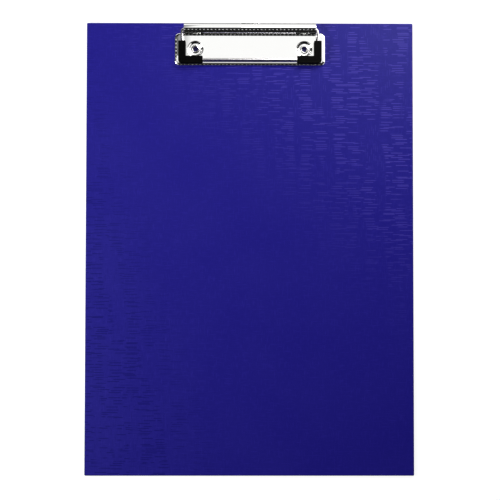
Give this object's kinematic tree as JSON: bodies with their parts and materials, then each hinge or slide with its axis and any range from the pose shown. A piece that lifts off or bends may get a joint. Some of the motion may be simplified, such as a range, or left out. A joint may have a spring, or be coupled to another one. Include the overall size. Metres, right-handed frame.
{
  "type": "clipboard",
  "caption": "Flat A4 clipboard: film-covered greyboard panel with a riveted, chromed wire-bail clamp and black corner grips at its top edge.",
  "frame": {"origin": "middle of the board's back face, on the surface that the clipboard lies on", "axes": "+X across the board to its right edge as the front is read, +Y along the board towards the clamp, +Z out of the front face"},
  "size_m": [0.228, 0.315, 0.0105],
  "materials": {
    "greyboard": "pressed grey fibreboard",
    "front_film": "embossed linen grain",
    "liner_film": "fine matt grain",
    "chromed_sheet": "bright chrome plating",
    "chromed_wire": "bright chrome plating",
    "grip_plastic": "moulded black plastic, satin",
    "spring_steel": "drawn and oiled",
    "nylon": "natural nylon",
    "rivet_steel": "bright nickel plating"
  },
  "bodies": {
    "board": {"board_core": "greyboard", "front_cover": "front_film", "back_cover": "liner_film", "base_plate": "chromed_sheet", "torsion_spring_left": "spring_steel", "torsion_spring_right": "spring_steel", "barrel_bush_left": "nylon", "barrel_bush_right": "nylon", "eyelet_left": "rivet_steel", "eyelet_right": "rivet_steel", "rivet_washer_left": "rivet_steel", "rivet_washer_right": "rivet_steel"},
    "bail": {"bail_wire": "chromed_wire", "corner_grip_left": "grip_plastic", "corner_grip_right": "grip_plastic"}
  },
  "joints": [
    {"name": "bail_swing", "type": "hinge", "parent": "board", "child": "bail", "pos_m": [0, 0.1526, 0.0065], "axis": [-1, 0, 0], "range_deg": [0, 95], "stiffness_Nm_per_rad": 0.2, "springref_deg": -57.3, "deforming": ["torsion_spring_left", "torsion_spring_right"]}
  ]
}
